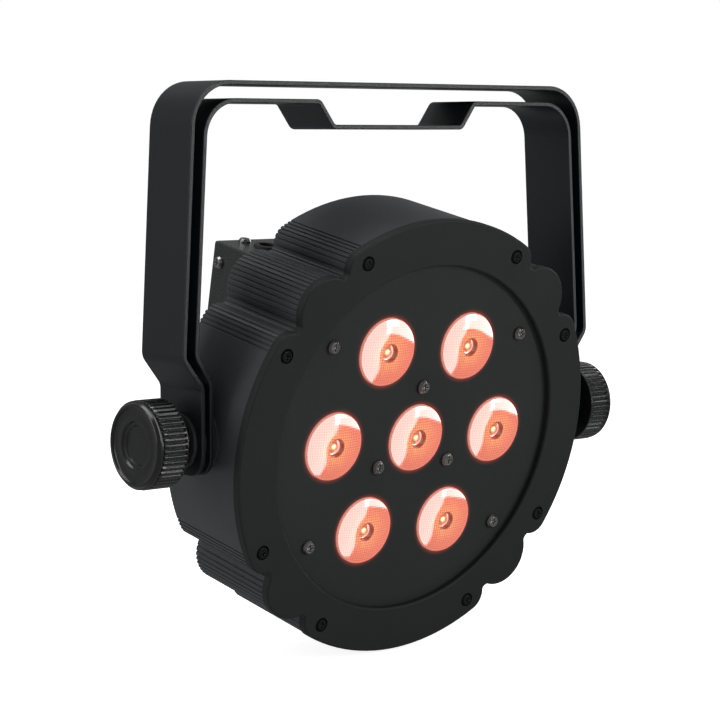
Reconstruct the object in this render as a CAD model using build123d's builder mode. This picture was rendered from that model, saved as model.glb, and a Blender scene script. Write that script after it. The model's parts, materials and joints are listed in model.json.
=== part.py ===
from build123d import *
import os
from math import cos, radians, sin, sqrt

# LED par can light on a double yoke.
# Origin: centre of the clamp hole, on the top face of the outer yoke. +Z is up.
# The light faces -Y. The yokes hang straight down and the head is tilted a little below level.

# ---------------------------------------------------------------- driving dimensions (mm)
PIVOT_Z = -152.0        # height of the tilt axis
TILT = 11.25            # degrees the lens face looks below level

STRIP_W = 30.0          # yoke strip, front to back
STRIP_T = 2.0           # yoke strip thickness
CLAMP_HOLE_R = 5.5

LOBE_R = 100.0          # the rim's four wide lobes
LOBE_SPAN = 29.4        # degrees each side of a wide lobe's middle
LOBE_CORNER_R = 8.7
SMALL_LOBE_R = 15.5
SMALL_LOBE_AT = 86.5
NOTCH_AT = 93.8
NOTCH_FILLET = 1.4

BEZEL_FRONT = 29.5      # heights along the head's own axis, measured from the tilt axis
BEZEL_BACK = 25.5
PLATE_FRONT = 26.5
PLATE_T = 2.0
HOUSING_BACK = -24.2
HOUSING_WALL = 3.4
BACK_WALL = 3.0
OPENING_R = 79.5
PLATE_R = 82.0

LENS_R = 15.4
LENS_RING_R = 47.4
INNER_SCREW_R = LENS_RING_R / 2
OUTER_SCREW_R = LENS_RING_R * 1.5
OUTER_SCREW_ANGLE = 39.5
BEZEL_SCREW_R = 92.8
BEZEL_SCREW_ANGLE = 28.0

RIB_PITCH = 1.2         # degrees
RIB_START = 27.0
RIB_COUNT = 31
RIB_W = 0.85
RIB_DEPTH = 0.5

BOX_W = 100.0
BOX_H = 138.0
BOX_BACK = -70.0
BOX_CORNER_R = 1.2
SHEET_T = 1.5

STUD_R = 3.95
KNOB_R = 19.0
KNOB_RIBS = 46
KNOB_GROOVE_R = 0.75

PLATE_BACK = PLATE_FRONT - PLATE_T
SINK_FRONT = 5.0
SINK_T = 4.0
BOARD_T = 1.6
BOARD_FRONT = SINK_FRONT + BOARD_T
PANEL_INSIDE = BOX_BACK + SHEET_T
POWER_BOARD_Z = -30.0
CONTROL_BOARD_Z = -60.0
M3_R = 1.45
M3_HOLE_R = 1.55
M4_R = 1.95
M4_HOLE_R = 2.05

# Stations along the tilt axis, measured outwards from the middle of the light
PAD_BACK_X = 97.0
PAD_X = 100.2
INNER_LEG_X = 103.4
OUTER_LEG_X = 107.8
KNOB_WASHER_X = OUTER_LEG_X + STRIP_T + 0.1
KNOB_WASHER_T = 1.5
HUB_X = KNOB_WASHER_X + KNOB_WASHER_T + 0.1
KNOB_BACK_X = 119.0
KNOB_RIM_X = KNOB_BACK_X + 0.8
KNOB_LIP_X = 131.4
KNOB_BEVEL_X = KNOB_LIP_X + 1.4
KNOB_FRONT_X = 134.2

SIDES = {"left": -1, "right": 1}

os.makedirs("parts", exist_ok=True)

HEAD = Plane(
    origin=(0, 0, PIVOT_Z),
    x_dir=(1, 0, 0),
    z_dir=(0, -cos(radians(TILT)), -sin(radians(TILT))),
)
HEAD_AXIS = Axis(HEAD.origin, HEAD.z_dir)


# ---------------------------------------------------------------- helpers
def finish(piece, label):
    """Label a finished piece and write it."""
    piece.part.label = label
    export_step(piece.part, f"parts/{label}.step")


def head_vector(x, y, z):
    """A direction given in the head's own axes: right, up, forward."""
    return HEAD.from_local_coords(Vector(x, y, z)) - HEAD.origin


def head_plane(point, normal=(0, 0, 1), across=(1, 0, 0)):
    """A plane given in the head's own axes."""
    return Plane(
        origin=HEAD.from_local_coords(Vector(*point)),
        x_dir=head_vector(*across),
        z_dir=head_vector(*normal),
    )


def side_plane(side, x):
    """A plane across the tilt axis, facing outwards, at distance x from the middle."""
    return Plane(origin=(side * x, 0, PIVOT_Z), x_dir=(0, 1, 0), z_dir=(side, 0, 0))


def polar(radius, angle):
    """A point on a circle round the head's axis."""
    return radius * cos(radians(angle)), radius * sin(radians(angle))


def rim_outline(inset):
    """The rim's outline, moved inwards by inset."""
    with BuildSketch(mode=Mode.PRIVATE) as outline:
        Circle(NOTCH_AT - inset)
        for lobe in range(4):
            with BuildLine(mode=Mode.PRIVATE) as path:
                CenterArc((0, 0), LOBE_R - LOBE_CORNER_R, 90 * lobe - LOBE_SPAN, 2 * LOBE_SPAN)
            SlotArc(path.edge(), 2 * (LOBE_CORNER_R - inset))
        with PolarLocations(SMALL_LOBE_AT, 4, start_angle=45):
            Circle(SMALL_LOBE_R - inset)
        notches = [v for v in outline.vertices() if Vector(v).length < NOTCH_AT - inset + 1]
        fillet(notches, NOTCH_FILLET)
    return outline.sketch


def reach(angle, at_radius, at_angle, radius):
    """How far from the centre a ray leaves a circle; 0 when it misses."""
    turn = radians(angle - at_angle)
    inside = radius**2 - (at_radius * sin(turn)) ** 2
    return at_radius * cos(turn) + sqrt(inside) if inside > 0 else 0


def rim_radius(angle):
    """The rim's radius at an angle from 0 to 90 degrees."""
    if angle <= LOBE_SPAN or angle >= 90 - LOBE_SPAN:
        return LOBE_R
    corner = LOBE_R - LOBE_CORNER_R
    return max(
        NOTCH_AT,
        reach(angle, corner, LOBE_SPAN, LOBE_CORNER_R),
        reach(angle, corner, 90 - LOBE_SPAN, LOBE_CORNER_R),
        reach(angle, SMALL_LOBE_AT, 45, SMALL_LOBE_R),
    )


def cross_screw(head_r, head_h, shank_r, shank_l):
    """A pan-head cross screw at the origin: its head stands on Z = 0, its shank goes down."""
    slot_w = head_r * 0.22
    slot_l = head_r * 1.15
    with BuildPart() as screw:
        with BuildSketch():
            Circle(head_r)
        extrude(amount=head_h * 0.45)
        with BuildSketch(Plane.XY.offset(head_h * 0.45)):
            Circle(head_r)
        extrude(amount=head_h * 0.55, taper=35)
        with BuildSketch():
            Circle(shank_r)
        extrude(amount=-shank_l)
        with BuildSketch(Plane.XY.offset(head_h)):
            Rectangle(slot_l, slot_w)
            Rectangle(slot_w, slot_l)
        extrude(amount=-head_h * 0.55, mode=Mode.SUBTRACT)
    return screw.part


def group(shape, planes):
    """Copies of one shape, one on each plane, as separate solids."""
    with BuildPart() as copies:
        with Locations(*planes):
            add(shape)
    return copies


bezel_screw_points = [
    polar(BEZEL_SCREW_R, 90 * lobe + turn)
    for lobe in range(4)
    for turn in (-BEZEL_SCREW_ANGLE, BEZEL_SCREW_ANGLE)
]
plate_screw_points = [polar(INNER_SCREW_R, angle) for angle in (90, 210, 330)]
plate_screw_points += [
    polar(OUTER_SCREW_R, middle + turn)
    for middle in (0, 180)
    for turn in (-OUTER_SCREW_ANGLE, OUTER_SCREW_ANGLE)
]
lens_points = [(0, 0)] + [polar(LENS_RING_R, 60 * k) for k in range(6)]

# ---------------------------------------------------------------- yokes
# Each yoke is one strip, bent in the XZ plane. Its legs are joggled outwards above the tilt axis.
LEG_END = -14.4
LEG_END_R = 9.0
JOG_BEND_R = 6.0
STRIP_EDGE_R = 0.35
AXLE_HOLE_R = STUD_R + 0.35


def strip_body(points, radii):
    """The bent strip, with a tilt-axis hole in each leg and rounded leg ends."""
    path = [(x, PIVOT_Z + z) for x, z in points]
    path += [(-x, z) for x, z in reversed(path)]
    bends = radii + radii[::-1]
    with BuildPart() as strip:
        with BuildSketch(Plane.XZ):
            with BuildLine():
                FilletPolyline(*path, radius=bends)
            trace(line_width=STRIP_T)
        extrude(amount=STRIP_W / 2, both=True)
        fillet(strip.edges().filter_by(Axis.X).group_by(Axis.Z)[0], LEG_END_R)
        front_and_back = strip.faces().filter_by(Axis.Y).group_by(Axis.Y)
        fillet((front_and_back[0] + front_and_back[-1]).edges(), STRIP_EDGE_R)
        with BuildSketch(Plane.YZ.offset(-KNOB_FRONT_X)):
            with Locations((0, PIVOT_Z)):
                Circle(AXLE_HOLE_R)
        extrude(amount=2 * KNOB_FRONT_X, mode=Mode.SUBTRACT)
    return strip.part


OUTER_PATH = [
    (OUTER_LEG_X + STRIP_T / 2, LEG_END),
    (OUTER_LEG_X + STRIP_T / 2, 23.6),
    (118.3, 36.0),
    (112.1, -PIVOT_Z - STRIP_T / 2),
]
INNER_TOP = 143.5
DIP_Z = 132.6
INNER_PATH = [
    (INNER_LEG_X + STRIP_T / 2, LEG_END),
    (INNER_LEG_X + STRIP_T / 2, 25.0),
    (112.0, 37.0),
    (106.0, INNER_TOP),
    (45.5, INNER_TOP),
    (37.5, DIP_Z),
]

with BuildPart() as outer_yoke:
    add(strip_body(OUTER_PATH, [JOG_BEND_R, JOG_BEND_R, 19.0]))
    with BuildSketch(Plane.XY):
        Circle(CLAMP_HOLE_R)
    extrude(amount=-STRIP_T, mode=Mode.SUBTRACT)
finish(outer_yoke, "outer_yoke")

with BuildPart() as inner_yoke:
    add(strip_body(INNER_PATH, [JOG_BEND_R, JOG_BEND_R, 16.0, 3.0, 3.0]))
    with BuildSketch(Plane.XY.offset(PIVOT_Z + DIP_Z + STRIP_T)):
        Circle(CLAMP_HOLE_R)
    extrude(amount=-2 * STRIP_T, mode=Mode.SUBTRACT)
finish(inner_yoke, "inner_yoke")


# ---------------------------------------------------------------- tilt-axis hardware
def rings(sides, x, thickness, outer_r, inner_r):
    """Flat washers on the tilt axis, one on each of the given sides."""
    with BuildPart() as washers:
        for side in sides:
            with BuildSketch(side_plane(side, x)):
                Circle(outer_r)
                Circle(inner_r, mode=Mode.SUBTRACT)
            extrude(amount=thickness)
    return washers


KNOB_BORE_R = STUD_R + 0.05
INSERT_R = 7.0
INSERT_BOSS_R = INSERT_R + 2.2
INSERT_BOSS_L = 12.0
PAD_R = 13.0
STUD_END_X = 87.5
STUD_TIP_X = 124.0
HUB_R = 10.0
FACE_DIP = 1.0
CENTRE_DIP = 1.8

WASHER_R = 12.5
INSERT_END_X = STUD_END_X - 1
both_sides = SIDES.values()
spacer_t = OUTER_LEG_X - INNER_LEG_X - STRIP_T - 0.1

finish(rings(both_sides, PAD_X, INNER_LEG_X - PAD_X - 0.1, WASHER_R, AXLE_HOLE_R), "friction_washers")
finish(rings(both_sides, OUTER_LEG_X - spacer_t, spacer_t, WASHER_R, AXLE_HOLE_R), "spacer_washers")
finish(rings(both_sides, INSERT_END_X, PAD_X - INSERT_END_X, INSERT_R - 0.05, KNOB_BORE_R), "knob_inserts")

for name, side in SIDES.items():
    finish(rings([side], KNOB_WASHER_X, KNOB_WASHER_T, WASHER_R - 0.5, AXLE_HOLE_R), f"knob_washer_{name}")

    with BuildPart() as stud:
        with BuildSketch(side_plane(side, STUD_END_X)):
            Circle(STUD_R)
        extrude(amount=STUD_TIP_X - STUD_END_X)
        chamfer(stud.edges().filter_by(GeomType.CIRCLE), 0.6)
    finish(stud, f"knob_stud_{name}")

    with BuildPart() as knob:
        with BuildSketch(side_plane(side, HUB_X)):
            Circle(HUB_R)
        extrude(amount=KNOB_BACK_X - HUB_X + 1)
        with BuildSketch(side_plane(side, KNOB_BACK_X)):
            Circle(KNOB_R)
        extrude(amount=KNOB_RIM_X - KNOB_BACK_X)
        with BuildSketch(side_plane(side, KNOB_RIM_X)):
            Circle(KNOB_R)
            with PolarLocations(KNOB_R + 0.15, KNOB_RIBS):
                Circle(KNOB_GROOVE_R, mode=Mode.SUBTRACT)
        extrude(amount=KNOB_LIP_X - KNOB_RIM_X)
        with BuildSketch(side_plane(side, KNOB_LIP_X)):
            Circle(KNOB_R - 0.2)
        extrude(amount=KNOB_BEVEL_X - KNOB_LIP_X)
        with BuildSketch(side_plane(side, KNOB_BEVEL_X)):
            Circle(KNOB_R - 0.7)
        extrude(amount=KNOB_FRONT_X - KNOB_BEVEL_X, taper=28)
        with BuildSketch(side_plane(side, KNOB_FRONT_X)):
            Circle(KNOB_R - 2.9)
        extrude(amount=-FACE_DIP, taper=25, mode=Mode.SUBTRACT)
        with BuildSketch(side_plane(side, KNOB_FRONT_X - FACE_DIP)):
            Circle(HUB_R)
        extrude(amount=-CENTRE_DIP, taper=20, mode=Mode.SUBTRACT)
        with BuildSketch(side_plane(side, HUB_X)):
            Circle(KNOB_BORE_R)
        extrude(amount=STUD_TIP_X - HUB_X, mode=Mode.SUBTRACT)
    finish(knob, f"knob_{name}")

# ---------------------------------------------------------------- housing
SINK_SCREW_R = 76.0
SINK_PILLAR_R = 5.0
SCREW_BOSS_R = 4.2
SCREW_HOLE_L = 14.0
PILLAR_HOLE_L = 10.0
SINK_BACK = SINK_FRONT - SINK_T
BOX_SCREW_X = BOX_W / 2 - SHEET_T - 3.2
BOX_SCREW_Y = 60.0
LEAD_HOLE_Y = -32.0
LEAD_HOLE_R = 9.0
BOARD_POST_X = 38.0
BOARD_POST_Y = 41.0
box_mount_points = [(x, y) for x in (-BOX_SCREW_X, BOX_SCREW_X) for y in (-BOX_SCREW_Y, BOX_SCREW_Y)]
board_post_points = [(x, y) for x in (-BOARD_POST_X, BOARD_POST_X) for y in (-BOARD_POST_Y, BOARD_POST_Y)]
cavity_back = HOUSING_BACK + BACK_WALL

rib_locations = []
for zone in range(4):
    for rib in range(RIB_COUNT):
        rib_angle = RIB_START + rib * RIB_PITCH
        rib_x, rib_y = polar(rim_radius(rib_angle) - 0.5, rib_angle + 90 * zone)
        rib_locations.append(Location((rib_x, rib_y, 0), (0, 0, rib_angle + 90 * zone)))

with BuildPart() as housing:
    with BuildSketch(HEAD.offset(HOUSING_BACK)):
        add(rim_outline(0.5))
        with Locations(*rib_locations):
            Rectangle(2 * RIB_DEPTH, RIB_W, mode=Mode.SUBTRACT)
    extrude(amount=BEZEL_BACK - HOUSING_BACK)
    with BuildSketch(HEAD.offset(cavity_back)):
        add(rim_outline(HOUSING_WALL))
        with Locations(*bezel_screw_points):
            Circle(SCREW_BOSS_R, mode=Mode.SUBTRACT)
    extrude(amount=BEZEL_BACK - cavity_back, mode=Mode.SUBTRACT)
    with BuildSketch(HEAD.offset(cavity_back)):
        with PolarLocations(SINK_SCREW_R, 4, start_angle=45):
            Circle(SINK_PILLAR_R)
    extrude(amount=SINK_BACK - cavity_back)
    for side in SIDES.values():
        with BuildSketch(side_plane(side, INSERT_END_X)):
            Circle(INSERT_BOSS_R)
        extrude(amount=INSERT_BOSS_L)
        with BuildSketch(side_plane(side, PAD_BACK_X)):
            Circle(PAD_R)
        extrude(amount=PAD_X - PAD_BACK_X)
        with BuildSketch(side_plane(side, INSERT_END_X - 1)):
            Circle(INSERT_R)
        extrude(amount=PAD_X - INSERT_END_X + 2, mode=Mode.SUBTRACT)
    with BuildSketch(HEAD.offset(BEZEL_BACK)):
        with Locations(*bezel_screw_points):
            Circle(M3_HOLE_R)
    extrude(amount=-SCREW_HOLE_L, mode=Mode.SUBTRACT)
    with BuildSketch(HEAD.offset(SINK_BACK)):
        with PolarLocations(SINK_SCREW_R, 4, start_angle=45):
            Circle(M4_HOLE_R)
    extrude(amount=-PILLAR_HOLE_L, mode=Mode.SUBTRACT)
    with BuildSketch(HEAD.offset(HOUSING_BACK)):
        with Locations(*box_mount_points):
            Circle(M3_HOLE_R)
        with Locations((0, LEAD_HOLE_Y)):
            Circle(LEAD_HOLE_R)
    extrude(amount=BACK_WALL, mode=Mode.SUBTRACT)
finish(housing, "housing")

# ---------------------------------------------------------------- bezel, front plate and their screws
COUNTERBORE = 1.4
COUNTERBORE_R = 3.4
BEZEL_EDGE_R = 0.9
OPENING_CHAMFER = 0.6

with BuildPart() as bezel:
    with BuildSketch(HEAD.offset(BEZEL_BACK)):
        add(rim_outline(0))
    extrude(amount=BEZEL_FRONT - BEZEL_BACK)
    fillet(bezel.faces().sort_by(HEAD_AXIS)[-1].edges(), BEZEL_EDGE_R)
    with BuildSketch(HEAD.offset(BEZEL_BACK)):
        Circle(OPENING_R)
        with Locations(*bezel_screw_points):
            Circle(M3_R + 0.2)
    extrude(amount=BEZEL_FRONT - BEZEL_BACK, mode=Mode.SUBTRACT)
    with BuildSketch(HEAD.offset(BEZEL_BACK)):
        Circle(PLATE_R + 0.3)
    extrude(amount=PLATE_FRONT - BEZEL_BACK, mode=Mode.SUBTRACT)
    with BuildSketch(HEAD.offset(BEZEL_FRONT)):
        with Locations(*bezel_screw_points):
            Circle(COUNTERBORE_R)
    extrude(amount=-COUNTERBORE, mode=Mode.SUBTRACT)
    opening_edge = bezel.edges().filter_by(GeomType.CIRCLE).filter_by(lambda e: abs(e.radius - OPENING_R) < 0.01)
    chamfer(opening_edge.sort_by(HEAD_AXIS)[-1], OPENING_CHAMFER)
finish(bezel, "bezel")

bezel_screw = cross_screw(2.9, 1.9, M3_R, 12)
bezel_screws = group(bezel_screw, [head_plane((x, y, BEZEL_FRONT - COUNTERBORE)) for x, y in bezel_screw_points])
finish(bezel_screws, "bezel_screws")

with BuildPart() as front_plate:
    with BuildSketch(HEAD.offset(PLATE_BACK)):
        Circle(PLATE_R)
        with Locations(*lens_points):
            Circle(LENS_R + 0.3, mode=Mode.SUBTRACT)
        with Locations(*plate_screw_points):
            Circle(M3_HOLE_R + 0.1, mode=Mode.SUBTRACT)
    extrude(amount=PLATE_T)
finish(front_plate, "front_plate")

plate_screw = cross_screw(3.1, 2.0, M3_R, 10)
plate_screws = group(plate_screw, [head_plane((x, y, PLATE_FRONT)) for x, y in plate_screw_points])
finish(plate_screws, "plate_screws")

STANDOFF_R = 3.2        # to the corners of the hexagon
STANDOFF_HOLE_L = 11.0
STANDOFF_THREAD_L = 3.0

with BuildPart() as standoff:
    with BuildSketch(Plane.XY.offset(SINK_FRONT)):
        RegularPolygon(STANDOFF_R, 6)
    extrude(amount=PLATE_BACK - SINK_FRONT)
    with BuildSketch(Plane.XY.offset(PLATE_BACK)):
        Circle(M3_HOLE_R)
    extrude(amount=-STANDOFF_HOLE_L, mode=Mode.SUBTRACT)
    with BuildSketch(Plane.XY.offset(SINK_FRONT)):
        Circle(M3_R)
    extrude(amount=-STANDOFF_THREAD_L)
plate_standoffs = group(standoff.part, [head_plane((x, y, 0)) for x, y in plate_screw_points])
finish(plate_standoffs, "plate_standoffs")

# ---------------------------------------------------------------- lenses, holders and emitters
# Profiles are in the plane of radius and height, with height 0 at the plate's front face.
LENS_BASE = -16.5
LENS_FLANGE = -1.9
HOLDER_BACK = BOARD_FRONT - PLATE_FRONT

with BuildPart() as lens_shape:
    with BuildSketch(Plane.XZ):
        with BuildLine():
            Polyline((0, LENS_BASE + 4.5), (0, 0.9), (3.6, 0.9), (4.2, 2.3))
            ThreePointArc((4.2, 2.3), (10.0, 1.75), (14.9, 0.6))
            Polyline((14.9, 0.6), (LENS_R, 0.1), (LENS_R, LENS_FLANGE), (14.8, LENS_FLANGE), (5.2, LENS_BASE))
            Polyline((5.2, LENS_BASE), (3.6, LENS_BASE), (3.0, LENS_BASE + 4.5), (0, LENS_BASE + 4.5))
        make_face()
    revolve(axis=Axis.Z)

with BuildPart() as holder_shape:
    with BuildSketch(Plane.XZ):
        with BuildLine():
            Polyline(
                (15.2, LENS_FLANGE - 0.2),
                (16.2, LENS_FLANGE - 0.2),
                (16.2, -5.0),
                (8.0, HOLDER_BACK),
                (5.8, HOLDER_BACK),
                (5.8, LENS_BASE - 0.1),
                close=True,
            )
        make_face()
    revolve(axis=Axis.Z)

with BuildPart() as emitter_shape:
    with BuildSketch(Plane.XY.offset(HOLDER_BACK)):
        RectangleRounded(5.4, 5.4, 0.6)
    extrude(amount=1.3)
    with BuildSketch(Plane.XY.offset(HOLDER_BACK + 1.3)):
        Circle(2.2)
    extrude(amount=1.5, taper=25)

lens_planes = [head_plane((x, y, PLATE_FRONT)) for x, y in lens_points]
for number, plane in enumerate(lens_planes, start=1):
    finish(group(lens_shape.part, [plane]), f"lens_{number}")
finish(group(holder_shape.part, lens_planes), "lens_holders")
finish(group(emitter_shape.part, lens_planes), "led_emitters")

LEAD_X = 1.4
LEAD_Y = -24.0
LED_BOARD_R = 66.0
STANDOFF_CLEAR_R = 3.6

with BuildPart() as led_board:
    with BuildSketch(HEAD.offset(SINK_FRONT)):
        Circle(LED_BOARD_R)
        with Locations(*plate_screw_points[:3]):
            Circle(STANDOFF_CLEAR_R, mode=Mode.SUBTRACT)
    extrude(amount=BOARD_T)
finish(led_board, "led_board")

# ---------------------------------------------------------------- heat sink
SINK_R = 82.0
FIN_T = 2.0
FIN_PITCH = 8.0
FIN_COUNT = 16
FIN_BACK = -14.0
FIN_REACH = 68.0

with BuildPart() as heat_sink:
    with BuildSketch(HEAD.offset(SINK_BACK)):
        Circle(SINK_R)
        with Locations(*plate_screw_points):
            Circle(M3_HOLE_R, mode=Mode.SUBTRACT)
        with PolarLocations(SINK_SCREW_R, 4, start_angle=45):
            Circle(M4_HOLE_R + 0.15, mode=Mode.SUBTRACT)
        with Locations((0, LEAD_Y)):
            SlotOverall(8, 4.4, mode=Mode.SUBTRACT)
    extrude(amount=SINK_T)
    with BuildSketch(HEAD.offset(FIN_BACK)):
        for fin in range(FIN_COUNT):
            fin_x = (fin - (FIN_COUNT - 1) / 2) * FIN_PITCH
            with Locations((fin_x, 0)):
                Rectangle(FIN_T, 2 * sqrt(FIN_REACH**2 - fin_x**2))
    extrude(amount=SINK_BACK - FIN_BACK)
finish(heat_sink, "heat_sink")

sink_screw = cross_screw(3.6, 2.4, M4_R, 12)
sink_screw_points = [polar(SINK_SCREW_R, 45 + 90 * k) for k in range(4)]
finish(group(sink_screw, [head_plane((x, y, SINK_FRONT)) for x, y in sink_screw_points]), "sink_screws")

# ---------------------------------------------------------------- rear box and its lid
FLANGE_W = 6.0
LID_RETURN = 7.0
LID_SCREW_Z = -65.0
GROMMET = (-32.0, -54.5)
GROMMET_R = 6.3
FIT = 0.2
LID_SCREW_X = 37.0
LID_SCREW_Y = 60.0
GROMMET_T = 1.2
SEAM_W = 0.4
SEAM_DEPTH = 0.5
inner_w = BOX_W - 2 * SHEET_T
inner_h = BOX_H - 2 * SHEET_T
lid_screw_planes = []
for x in (-LID_SCREW_X, LID_SCREW_X):
    lid_screw_planes.append(head_plane((x, BOX_H / 2, LID_SCREW_Z), (0, 1, 0)))
    lid_screw_planes.append(head_plane((x, -BOX_H / 2, LID_SCREW_Z), (0, -1, 0)))
for y in (-LID_SCREW_Y, LID_SCREW_Y):
    lid_screw_planes.append(head_plane((BOX_W / 2, y, LID_SCREW_Z), (1, 0, 0), (0, 1, 0)))
    lid_screw_planes.append(head_plane((-BOX_W / 2, y, LID_SCREW_Z), (-1, 0, 0), (0, 1, 0)))

with BuildPart() as rear_box:
    with BuildSketch(HEAD.offset(BOX_BACK)):
        RectangleRounded(BOX_W, BOX_H, BOX_CORNER_R)
    extrude(amount=HOUSING_BACK - BOX_BACK)
    with BuildSketch(HEAD.offset(BOX_BACK)):
        Rectangle(inner_w, inner_h)
    extrude(amount=HOUSING_BACK - BOX_BACK - SHEET_T, mode=Mode.SUBTRACT)
    with BuildSketch(HEAD.offset(HOUSING_BACK)):
        Rectangle(inner_w - 2 * FLANGE_W, inner_h - 2 * FLANGE_W)
        with Locations(*box_mount_points):
            Circle(M3_HOLE_R)
    extrude(amount=-SHEET_T, mode=Mode.SUBTRACT)
    for plane in lid_screw_planes:
        with BuildSketch(plane):
            Circle(M3_HOLE_R)
        extrude(amount=-SHEET_T, mode=Mode.SUBTRACT)
    with BuildSketch(head_plane((GROMMET[0], BOX_H / 2, GROMMET[1]), (0, 1, 0))):
        Circle(GROMMET_R - 1.2)
    extrude(amount=-SHEET_T, mode=Mode.SUBTRACT)
    for x in (-BOX_W / 2 + SHEET_T + 0.2, BOX_W / 2 - SHEET_T - 0.2):
        with BuildSketch(head_plane((x, BOX_H / 2, (HOUSING_BACK + BOX_BACK) / 2), (0, 1, 0))):
            Rectangle(SEAM_W, HOUSING_BACK - BOX_BACK)
        extrude(amount=-SEAM_DEPTH, mode=Mode.SUBTRACT)
finish(rear_box, "rear_box")

with BuildPart() as grommet:
    with BuildSketch(head_plane((GROMMET[0], BOX_H / 2, GROMMET[1]), (0, 1, 0))):
        Circle(GROMMET_R)
    extrude(amount=GROMMET_T, taper=20)
    with BuildSketch(head_plane((GROMMET[0], BOX_H / 2, GROMMET[1]), (0, 1, 0))):
        Circle(GROMMET_R - 1.3)
    extrude(amount=-SHEET_T - 1.5)
    with BuildSketch(head_plane((GROMMET[0], BOX_H / 2 + GROMMET_T, GROMMET[1]), (0, 1, 0))):
        Circle(GROMMET_R - 2.4)
    extrude(amount=-2 * GROMMET_T, mode=Mode.SUBTRACT)
finish(grommet, "grommet")

# Panel positions, to the right and up on the head's own axes
DISPLAY = (0, 46)
DISPLAY_W = 34.0
DISPLAY_H = 18.0
BUTTON_Y = 24
BUTTON_X = {"menu": -27, "down": -9, "up": 9, "enter": 27}
BUTTON_R = 3.3
DMX_IN = (23, -6)
DMX_OUT = (-23, -6)
DMX_R = 11.8
DMX_SCREW_X = 9.5
DMX_SCREW_Y = 12.0
POWER_IN = (24.5, -45)
POWER_OUT = (-24.5, -45)
FUSE = (0, -45)
FUSE_HOLE_R = 6.2
EYE_Y = 61.5
EYE_SCREW_X = 11.2
POWER_W = 27.0
POWER_H = 20.0
LATCH_W = 8.0
LATCH_H = 4.0
LATCH_Y = 12.4
control_post_points = [(x, y) for x in (-39, 39) for y in (17, 55)]

with BuildPart() as rear_panel:
    with BuildSketch(HEAD.offset(BOX_BACK)):
        Rectangle(inner_w - FIT, inner_h - FIT)
    extrude(amount=SHEET_T + LID_RETURN)
    with BuildSketch(HEAD.offset(PANEL_INSIDE)):
        Rectangle(inner_w - FIT - 2 * SHEET_T, inner_h - FIT - 2 * SHEET_T)
    extrude(amount=LID_RETURN, mode=Mode.SUBTRACT)
    with BuildSketch(HEAD.offset(BOX_BACK)):
        with Locations(DISPLAY):
            Rectangle(DISPLAY_W, DISPLAY_H)
        with Locations(*[(x, BUTTON_Y) for x in BUTTON_X.values()]):
            Circle(BUTTON_R + 0.3)
        with Locations(DMX_IN, DMX_OUT):
            Circle(DMX_R + 0.2)
        with Locations((DMX_OUT[0], DMX_OUT[1] + LATCH_Y)):
            Rectangle(LATCH_W + 1.4, LATCH_H + 1.4)
        with Locations(POWER_IN, POWER_OUT):
            Rectangle(POWER_W + 0.4, POWER_H + 0.4)
        with Locations(FUSE):
            Circle(FUSE_HOLE_R + 0.1)
        with Locations((-EYE_SCREW_X, EYE_Y), (EYE_SCREW_X, EYE_Y)):
            Circle(M3_HOLE_R)
        for x, y in (DMX_IN, DMX_OUT):
            with Locations((x - DMX_SCREW_X, y + DMX_SCREW_Y), (x + DMX_SCREW_X, y - DMX_SCREW_Y)):
                Circle(M3_HOLE_R)
    extrude(amount=SHEET_T, mode=Mode.SUBTRACT)
    for plane in lid_screw_planes:
        with BuildSketch(plane):
            Circle(M3_HOLE_R)
        extrude(amount=-SHEET_T * 3, mode=Mode.SUBTRACT)
finish(rear_panel, "rear_panel")

# ---------------------------------------------------------------- safety eye
EYE_T = 3.0
EYE_R = 5.0
EYE_OUT = 10.0
EYE_OUTER_R = 8.0

with BuildPart() as safety_eye:
    with BuildSketch(HEAD.offset(BOX_BACK)):
        with Locations((0, EYE_Y)):
            RectangleRounded(2 * EYE_SCREW_X + 8, 8, 1.5)
            with Locations((-EYE_SCREW_X, 0), (EYE_SCREW_X, 0)):
                Circle(M3_HOLE_R, mode=Mode.SUBTRACT)
    extrude(amount=-EYE_T)
    with BuildSketch(head_plane((0, EYE_Y + EYE_T / 2, BOX_BACK - EYE_T), (0, 1, 0))):
        with Locations((0, EYE_OUT)):
            Circle(EYE_OUTER_R)
        with Locations((0, EYE_OUT / 2 - 0.5)):
            Rectangle(2 * EYE_OUTER_R, EYE_OUT + 1)
        with Locations((0, EYE_OUT)):
            Circle(EYE_R, mode=Mode.SUBTRACT)
    extrude(amount=-EYE_T)
finish(safety_eye, "safety_eye")

# ---------------------------------------------------------------- display and buttons
with BuildPart() as display_window:
    with BuildSketch(HEAD.offset(BOX_BACK)):
        with Locations(DISPLAY):
            RectangleRounded(DISPLAY_W - FIT, DISPLAY_H - FIT, 0.5)
    extrude(amount=2)
finish(display_window, "display_window")

control_back = CONTROL_BOARD_Z - BOARD_T

with BuildPart() as display_module:
    with BuildSketch(HEAD.offset(control_back)):
        with Locations(DISPLAY):
            Rectangle(DISPLAY_W - 2, DISPLAY_H - 2)
    extrude(amount=-(control_back - BOX_BACK - 2.2))
finish(display_module, "display_module")

with BuildPart() as control_board:
    with BuildSketch(HEAD.offset(control_back)):
        with Locations((0, 36)):
            Rectangle(84, 46)
        with Locations(*control_post_points):
            Circle(M3_HOLE_R, mode=Mode.SUBTRACT)
    extrude(amount=BOARD_T)
finish(control_board, "control_board")

with BuildPart() as control_chips:
    with BuildSketch(HEAD.offset(CONTROL_BOARD_Z)):
        with Locations((-14, 34)):
            Rectangle(12, 12)
        with Locations((-32, 30)):
            Rectangle(6, 9)
        with Locations((34, 38)):
            Rectangle(9, 6)
    extrude(amount=1.8)
finish(control_chips, "control_chips")

SWITCH_H = 3.4

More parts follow.
